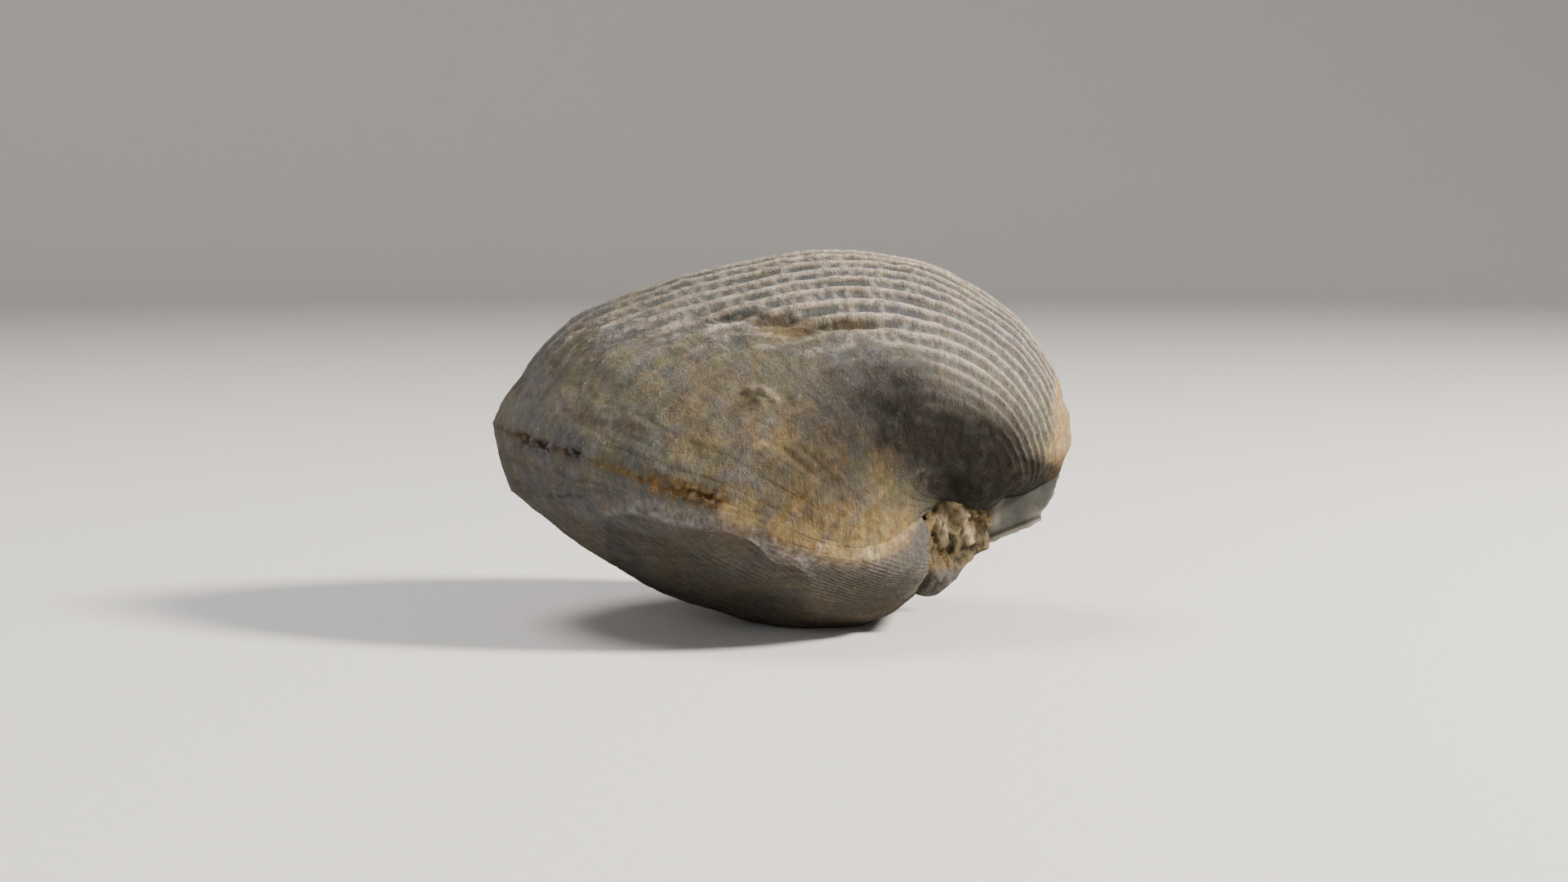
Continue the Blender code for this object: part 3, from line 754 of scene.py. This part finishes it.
def rock_start():
    """The rock's forms before they are fused: lumps, the slab, and the small knob on it."""
    rock = bmesh.new()
    for centre, radii in ROCK_LUMPS:
        made = bmesh.ops.create_icosphere(rock, subdivisions=4, radius=1)
        placed = Matrix.Translation(Vector(centre)) @ Matrix.Diagonal((*radii, 1))
        bmesh.ops.transform(rock, matrix=placed, verts=made["verts"])
    corners = [rock.verts.new((x, SLAB_FACE, z)) for x, z in SLAB_OUTLINE]
    front = rock.faces.new(corners)
    grown = bmesh.ops.extrude_face_region(rock, geom=[front], use_keep_orig=True)
    moved = [item for item in grown["geom"] if isinstance(item, bmesh.types.BMVert)]
    bmesh.ops.translate(rock, verts=moved, vec=(0, SLAB_DEPTH, 0))
    knob = bmesh.ops.create_icosphere(rock, subdivisions=3, radius=KNOB_RADIUS)
    bmesh.ops.translate(rock, verts=knob["verts"], vec=KNOB)
    bmesh.ops.recalc_face_normals(rock, faces=rock.faces)
    mesh = bpy.data.meshes.new("rock_start")
    rock.to_mesh(mesh)
    rock.free()
    return mesh


def rock_bottom(spots):
    """How high the rock's underside lies at each spot."""
    return read(ROCK_FOOT, spots[:, 0]) - FOOT_SLOPE * spots[:, 1]


def rock_body():
    """The rock as one closed skin, cut off at its front and underside, with the slab's back thinned."""
    mesh = one_skin(rock_start(), 0.40, 2)
    spots = mesh_values(mesh.vertices, "co")
    spots[:, 1] = np.maximum(spots[:, 1], read(ROCK_FRONT, spots[:, 0]))
    thinned = read(SLAB_THINNING, spots[:, 0]) + 0.16 * grain(spots * (1, 0, 1), 4, 2, seed=59)
    beyond = np.clip(spots[:, 1] - SLAB_FACE, 0, None) * rise(30.5, 32.0, spots[:, 0])
    spots[:, 1] -= beyond * (1 - np.clip(thinned, 0.2, 1))
    spots[:, 2] = np.maximum(spots[:, 2], rock_bottom(spots) + 0.35)
    mesh.vertices.foreach_set("co", spots.ravel())
    mesh = one_skin(mesh, 0.30, 4)
    mesh.name = "hinge_rock"
    return mesh


class RockSkin:
    """The rock's skin at each point: its relief in millimetres, and its colour masks."""

    def __init__(self, spots, normals):
        x, y, z = spots.T
        self.spots = spots
        self.slab = rise(31.2, 32.4, x + 0.3 * grain(spots, 1.5, 2, seed=51)) * rise(2.0, 2.8, y)
        self.foot = rise(10.6, 9.2, z + 0.6 * grain(spots, 2, 2, seed=56))
        self.broad = grain(spots, 4.5, 2, seed=52)
        self.ridges = 1 - 3 * np.abs(grain(spots * (1, 1, 0.5), 2.4, 3, seed=53))
        self.rough = grain(spots, 1.1, 3, seed=54)
        self.back = rise(0.0, 0.6, normals[:, 1])
        self.edge = 1 - np.abs(normals[:, 1])
        self.height = z - rock_bottom(spots)
        self.front = rise(-2.0, -4.0, y)
        self.ridge, _ = near_line(spots, ROCK_RIDGE)
        self.furrow, _ = near_line(spots, ROCK_FURROW)

    def relief(self):
        """How far each point stands out, in millimetres."""
        x, _, z = self.spots.T
        slab, broad, ridges, rough = self.slab, self.broad, self.ridges, self.rough
        broken = 0.30 * broad + 0.12 * ridges + 0.18 * rough + 0.75 * broken_faces(self.spots) - 0.20
        calm = 0.35 + 0.65 * rise(0.3, 1.8, self.height)
        relief = (1 - slab) * (1 - 0.6 * self.foot) * calm * broken
        rear = self.back * (1.4 * broad + 0.5 * ridges - 0.7)
        relief += slab * (0.06 * grain(self.spots, 3, 3, seed=55) + rear + 0.22 * self.edge * rough)
        (lobe_x, lobe_z), (wide, high) = ROCK_LOBE
        relief += 1.3 * fade(x - lobe_x, wide) * fade(z - lobe_z, high) * self.front
        lines = 1.0 * fade(self.ridge, 0.75) - 0.5 * fade(self.furrow, 0.8)
        return relief + lines * self.front * (1 - slab)

    def masks(self):
        """Where each colour lies."""
        x, y, z = self.spots.T
        slab, ridges, rough = self.slab, self.ridges, self.rough
        knob = fade(np.linalg.norm(self.spots - KNOB, axis=1), 1.4)
        cream = fade(self.ridge, 0.55) * self.front
        pale_face = 0.75 * bloom(self.spots, *PALE_FACE, 0.7) * self.front
        rim = rise(1.5, 0.6, self.height) * rise(24.5, 26, x) * (1 - slab)
        step = fade(x - 33.3 - 0.20 * (z - 16) + 0.3 * rough, 0.85) * rise(13.0, 15.5, z)
        above_edge = z - read(SLAB_EDGE, x)
        right = slab * rise(31.8, 32.8, x)
        under_slab = right * fade(above_edge - 0.75, 0.35)
        slab_edge = right * rise(0.5, 0.1, above_edge) * rise(4.2, 3.4, y + 0.5 * rough)
        streaks = rise(0.0, 0.5, grain(self.spots * (0.5, 1, 1.6), 1.6, 3, seed=57))
        low = np.clip(0.1 - 0.8 * ridges, 0, 0.7) + 0.3 * streaks + 0.4 * fade(self.furrow, 1.3)
        pale = (cream * (0.55 + 0.8 * rough) + pale_face * (0.8 + rough)) * (1 - slab)
        return {
            "slab": slab * (1 - 0.65 * self.back) * (1 - 0.4 * self.edge),
            "crest": 0.4 * ridges + 0.5 * rough + 0.7 * rim,
            "ochre": (0.30 + 0.8 * self.broad) * (1 - slab) * (1 - self.foot) + 0.7 * cream + knob,
            "dark": low * (1 - slab) * (1 - cream) + 0.8 * under_slab,
            "pale": pale + (0.60 * step + 0.55 * slab_edge) * slab + 0.8 * knob,
            "foot": self.foot * (1 - slab),
        }


def hinge_rock():
    """The rock under the beak: rough lumps, and a smooth thin slab that runs up the far side of the beak."""
    mesh = rock_body()
    spots = mesh_values(mesh.vertices, "co")
    normals = mesh_values(mesh.vertex_normals, "vector")
    skin = RockSkin(spots, normals)
    moved = spots + normals * skin.relief()[:, None]
    moved[:, 0] += MIDDLE
    mesh.vertices.foreach_set("co", (moved * MM).ravel())
    store(mesh, skin.masks())
    mesh.shade_smooth()
    return add("hinge_rock", mesh)


class Finish:
    """A material's node tree, built one node at a time."""

    def __init__(self, name):
        self.material = bpy.data.materials.new(name)
        self.material.use_nodes = True
        self.tree = self.material.node_tree
        self.shader = self.tree.nodes["Principled BSDF"]
        self.place = self.node("TexCoord").outputs["Object"]
        self.base = None

    def put(self, socket, value):
        """Links a socket, or sets its value."""
        if isinstance(value, bpy.types.NodeSocket):
            self.tree.links.new(value, socket)
        elif hasattr(socket.default_value, "__len__") and len(socket.default_value) == 4:
            socket.default_value = (*value, 1.0)
        else:
            socket.default_value = value

    def node(self, kind, **inputs):
        """A new node of that kind, with those inputs linked or set."""
        node = self.tree.nodes.new("ShaderNode" + kind)
        for name, value in inputs.items():
            self.put(node.inputs[name], value)
        return node

    def mask(self, name):
        """A mask that is stored on the mesh."""
        node = self.node("Attribute")
        node.attribute_name = name
        return node.outputs["Fac"]

    def noise(self, place, detail, roughness, uneven):
        """Noise with lumps about one unit wide."""
        settings = {"Detail": float(detail), "Roughness": roughness, "Distortion": uneven}
        return self.node("TexNoise", Vector=place.outputs["Vector"], Scale=1.0, **settings)

    def speckle(self, size, detail=3, stretch=(1, 1, 1), uneven=0.0):
        """Noise with lumps of that size in millimetres, stretched along the axes."""
        scale = tuple(1 / (size * MM * share) for share in stretch)
        placed = self.node("Mapping", Vector=self.place, Scale=scale)
        return self.noise(placed, detail, 0.55, uneven).outputs["Fac"]

    def tints(self, size, stretch):
        """Slight shifts of hue, with patches of that size in millimetres, to multiply a colour by."""
        lumps = self.speckle(size, 3, stretch, 0.6).node.outputs["Color"]
        return self.blend(1.0, lumps, (0.5, 0.5, 0.5), "ADD")

    def grown(self, ages, places, detail):
        """Noise laid along the shell's growth: so many lumps from beak to margin, and so many across."""
        along = self.part(self.mask("age"), ages)
        joined = self.node("CombineXYZ", X=along, Y=self.part(self.mask("around"), places))
        return self.noise(joined, detail, 0.5, 0.6).outputs["Fac"]

    def sum(self, operation, first, second, clamp=False):
        """A calculation with two values."""
        node = self.node("Math")
        node.operation = operation
        node.use_clamp = clamp
        self.put(node.inputs[0], first)
        self.put(node.inputs[1], second)
        return node.outputs["Value"]

    def spread(self, value, low, high, to_low=0.0, to_high=1.0):
        """Maps a value from one range to another."""
        node = self.node("MapRange", Value=value)
        node.interpolation_type = "SMOOTHSTEP"
        ends = {"From Min": low, "From Max": high, "To Min": to_low, "To Max": to_high}
        for name, amount in ends.items():
            self.put(node.inputs[name], amount)
        return node.outputs["Result"]

    def blend(self, share, first, second, mode="MIX"):
        """Mixes two colours."""
        node = self.node("Mix")
        node.data_type = "RGBA"
        node.blend_type = mode
        self.put(node.inputs[0], share)
        self.put(node.inputs[6], first)
        self.put(node.inputs[7], second)
        return node.outputs[2]

    def grey(self, value):
        """A value as a colour that others can be multiplied by."""
        return self.node("CombineColor", Red=value, Green=value, Blue=value).outputs["Color"]

    def bump(self, height, distance):
        """Fine relief, with its full height in millimetres."""
        node = self.node("Bump", Height=height, Distance=distance * MM, Strength=1.0)
        self.put(self.shader.inputs["Normal"], node.outputs["Normal"])

    def part(self, value, share):
        """A value times a fixed share."""
        return self.sum("MULTIPLY", value, float(share))

    def masked(self, name, lumps, low, high, to_low, to_high):
        """A stored mask, broken up by noise that is mapped from one range to another."""
        return self.sum("MULTIPLY", self.mask(name), self.spread(lumps, low, high, to_low, to_high), True)

    def lay(self, share, colour, mode="MIX"):
        """Lays a colour over what the material has so far."""
        self.base = self.blend(share, self.base, colour, mode)

    def close(self, roughness):
        """Gives the shader its colour, its roughness and a matt look."""
        self.put(self.shader.inputs["Base Color"], self.base)
        self.put(self.shader.inputs["Roughness"], roughness)
        self.shader.inputs["Specular IOR Level"].default_value = MATT_SPECULAR


def shell_ground(look, tones, middling):
    """The bare shell: slate, olive, tan and lilac patches, and brown ones that follow its growth."""
    broad = look.speckle(10, 3, uneven=0.7)
    small = look.speckle(1.2, 5, uneven=0.6)
    growth = look.grown(46, 5.0, 4)
    patches = look.speckle(4.6, 4, uneven=0.8)
    look.base = look.blend(look.spread(broad, 0.40, 0.60), tones["slate"], tones["olive"])
    look.lay(look.spread(middling, 0.47, 0.66, 0, 0.85), tones["tan"])
    look.lay(look.spread(growth, 0.50, 0.68, 0, 0.7), tones["brown"])
    look.lay(look.spread(patches, 0.53, 0.68, 0, 0.62), tones["lilac"])
    look.lay(look.spread(small, 0.55, 0.75, 0, 0.7), tones["slate"])


def shell_ribs(look, tones, middling):
    """Cool grey patches, painted shade in the grooves, and pale rib crests that are partly worn shell and
    partly painted highlight.
    """
    cool = look.masked("cool", look.speckle(1.5, 4, uneven=0.9), 0.38, 0.62, 0.3, 1.0)
    look.lay(cool, COOL_GREY)
    look.lay(look.masked("groove", middling, 0.35, 0.65, 1.0, 0.72), tones["groove"])
    look.lay(look.masked("crest", look.speckle(0.8, 4), 0.32, 0.58, 0.35, 1.0), tones["crest"])


def shell_stains(look, pale_tone, middling):
    """Ochre and rust stains, pale cream places that turn golden where they are stained, and flecks. The pale
    places are worn and broken shell, and painted highlight on the lit ribs and the bump's fold.
    """
    flow = look.speckle(2.4, 3.5, stretch=(1, 1, 1.5), uneven=1.0)
    stain = look.masked("ochre", flow, 0.30, 0.64, 0.32, 1.12)
    patches = look.spread(look.speckle(1.6, 4), 0.40, 0.64)
    look.lay(look.part(stain, 0.86), look.blend(patches, *OCHRES))
    seeping = look.masked("rust", middling, 0.3, 0.6, 0.5, 1.2)
    look.lay(look.part(seeping, 0.84), look.blend(patches, *RUSTS))
    pale = look.masked("pale", look.speckle(0.7, 4), 0.32, 0.58, 0.25, 1.0)
    golden = look.part(look.mask("ochre"), 0.85)
    look.lay(look.part(pale, 0.85), look.blend(golden, pale_tone, GOLDEN_CREAM))
    look.lay(look.spread(look.speckle(0.7, 2), 0.67, 0.76, 0, 0.45), FLECK_CREAM)


def shell_finish(name, tones, shade_and_dirt_depth):
    """Weathered shell: its ground, ribs and stains, then fine fibres, slight tints, and the dark masks over
    them: painted shade, and the dark seam and stains.
    """
    look = Finish(name)
    middling = look.speckle(3.4, 4, uneven=0.9)
    fibres = look.speckle(0.50, 3, stretch=(1, 1, 6), uneven=0.8)
    grit = look.speckle(0.20, 3)
    shell_ground(look, tones, middling)
    shell_ribs(look, tones, middling)
    shell_stains(look, tones["pale"], middling)

    strands = look.spread(look.grown(9, 60.0, 3), 0.3, 0.7, -0.10, 0.10)
    shade = look.sum("ADD", look.spread(fibres, 0.30, 0.70, 0.84, 1.16), strands)
    look.lay(1.0, look.grey(shade), "MULTIPLY")
    look.lay(1.0, look.grey(look.spread(grit, 0.3, 0.7, 0.85, 1.15)), "MULTIPLY")
    look.lay(0.18, look.tints(0.9, (1, 1, 4)), "MULTIPLY")
    look.lay(0.26, look.tints(3.0, (1, 1, 1)), "MULTIPLY")
    # Darkens by the dark mask: painted shade, and the dark seam, stains and growth lines.
    look.lay(look.part(look.masked("dark", middling, 0.3, 0.65, 0.90, 1.06), shade_and_dirt_depth), SHADE_AND_DIRT)
    look.close(look.spread(middling, 0.3, 0.7, 0.68, 0.92))

    crumbs = look.part(look.speckle(0.55, 5, uneven=0.8), 0.6)
    rough = look.sum("ADD", crumbs, look.part(fibres, 0.25))
    look.bump(look.sum("ADD", rough, look.part(grit, 0.22)), 0.42)
    return look.material


def rock_finish():
    """Brown and ochre sediment with cream faces, and a smooth grey-green slab."""
    look = Finish("hinge_rock")
    broad = look.speckle(3.6, 4, uneven=1.0)
    streaks = look.speckle(1.0, 4, stretch=(1, 1, 2.5), uneven=0.8)
    grit = look.speckle(0.22, 4)
    slab = look.mask("slab")
    pale = look.mask("pale")
    look.base = look.blend(look.spread(broad, 0.40, 0.60), *ROCK_BROWNS)
    look.lay(look.spread(streaks, 0.45, 0.62, 0, 0.85), ROCK_STREAK)
    look.lay(look.part(look.mask("ochre"), 0.5), ROCK_OCHRE)
    look.lay(look.part(look.mask("crest"), 0.4), ROCK_SAND)
    look.lay(look.mask("foot"), FOOT_GREY)
    look.lay(look.part(pale, 0.85), ROCK_CREAM)
    smooth = look.blend(look.spread(look.speckle(2.2, 4), 0.35, 0.65), *SLAB_GREYS)
    look.lay(slab, look.blend(look.part(pale, 0.8), smooth, SLAB_CREAM))
    grains = look.grey(look.spread(grit, 0.3, 0.7, 0.70, 1.25))
    look.lay(look.spread(slab, 0.2, 0.8, 1.0, 0.25), grains, "MULTIPLY")
    look.lay(look.part(look.mask("dark"), 0.85), ROCK_DIRT)
    look.close(look.spread(broad, 0.3, 0.7, 0.65, 0.88))
    height = look.sum("ADD", look.part(look.speckle(0.6, 5), 0.6), look.part(grit, 0.4))
    look.bump(look.sum("MULTIPLY", height, look.spread(slab, 0.2, 0.7, 1.0, 0.2)), 0.35)
    return look.material


def floor_dish():
    """The floor: a flat disc whose rim bends up all round into a wall."""
    profile = [(0.0, 0.0), (0.5, 0.0), (FLOOR_FLAT, 0.0)]
    profile += [
        (FLOOR_FLAT + FLOOR_BEND * math.sin(turn), FLOOR_BEND - FLOOR_BEND * math.cos(turn))
        for turn in np.linspace(0.1, math.pi / 2, 12)
    ]
    profile.append((FLOOR_FLAT + FLOOR_BEND, WALL_TOP))
    turns = np.linspace(0, 2 * math.pi, FLOOR_SIDES, endpoint=False)
    circle = [(math.cos(turn), math.sin(turn)) for turn in turns]
    spots = [(radius * x, radius * y, height) for radius, height in profile for x, y in circle]
    faces = []
    for inner in range(0, (len(profile) - 1) * FLOOR_SIDES, FLOOR_SIDES):
        outer = inner + FLOOR_SIDES
        for side in range(FLOOR_SIDES):
            after = (side + 1) % FLOOR_SIDES
            faces.append((inner + side, inner + after, outer + after, outer + side))
    mesh = bpy.data.meshes.new("floor")
    mesh.from_pydata(spots, [], faces)
    shell = bmesh.new()
    shell.from_mesh(mesh)
    bmesh.ops.remove_doubles(shell, verts=shell.verts, dist=0.0001)
    shell.to_mesh(mesh)
    shell.free()
    mesh.shade_smooth()
    return add("floor", mesh)


def floor_finish():
    """Pale paper."""
    look = Finish("floor")
    paper = look.speckle(2.0, 3)
    colour = look.blend(look.spread(paper, 0.3, 0.7), *PAPERS)
    look.put(look.shader.inputs["Base Color"], colour)
    look.put(look.shader.inputs["Roughness"], look.spread(paper, 0.3, 0.7, 0.85, 0.95))
    return look.material


def lights():
    """A faint bluish sky, and three soft lamps that point at the fossil."""
    world = bpy.data.worlds.new("studio")
    world.use_nodes = True
    sky = world.node_tree.nodes["Background"].inputs
    sky["Color"].default_value = SKY
    sky["Strength"].default_value = SKY_STRENGTH
    bpy.context.scene.world = world
    for name, place, size, power, colour in LAMPS:
        lamp = bpy.data.lights.new(name, "AREA")
        lamp.shape = "DISK"
        lamp.size = size
        lamp.energy = power
        lamp.color = colour
        light = add(name, lamp)
        light.location = place
        light.rotation_euler = (Vector(LIT_SPOT) - Vector(place)).to_track_quat("-Z", "Y").to_euler()


def photo_camera():
    """The camera, a little above the fossil and square to its near side."""
    lens = bpy.data.cameras.new("camera")
    lens.lens = 50
    lens.sensor_width = 36
    lens.clip_start = 0.01
    lens.clip_end = 20
    camera = add("camera", lens)
    tilt = math.radians(CAMERA_TILT)
    aim = Vector(CAMERA_AIM)
    camera.location = (aim + Vector((0, -math.cos(tilt), math.sin(tilt))) * CAMERA_DISTANCE) * MM
    camera.rotation_euler = (math.pi / 2 - tilt, 0, 0)
    bpy.context.scene.camera = camera


def main():
    pedicle = Valve(PEDICLE_CREST, PEDICLE_HINGE_EDGE, PEDICLE_SPREAD)
    brachial = Valve(BRACHIAL_CREST, BRACHIAL_HINGE_EDGE, BRACHIAL_SPREAD)
    upper = valve_piece("ribbed_valve", pedicle, *PEDICLE_GRID, RibbedSkin)
    upper.data.materials.append(shell_finish("ribbed_shell", RIBBED_TONES, RIBBED_SHADE_AND_DIRT))
    lower = valve_piece("worn_valve", brachial, *BRACHIAL_GRID, WornSkin)
    lower.data.materials.append(shell_finish("worn_shell", WORN_TONES, WORN_SHADE_AND_DIRT))
    rock = hinge_rock()
    rock.data.materials.append(rock_finish())
    for piece, node, slot in (
        (upper, "pedicle_valve", "ribbed_shell"),
        (lower, "brachial_valve", "worn_shell"),
        (rock, "hinge_matrix", "hinge_rock"),
    ):
        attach(piece, "root")
        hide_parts(node)
    floor = floor_dish()
    floor.data.materials.append(floor_finish())
    lights()
    photo_camera()
    bpy.context.view_layer.update()


main()
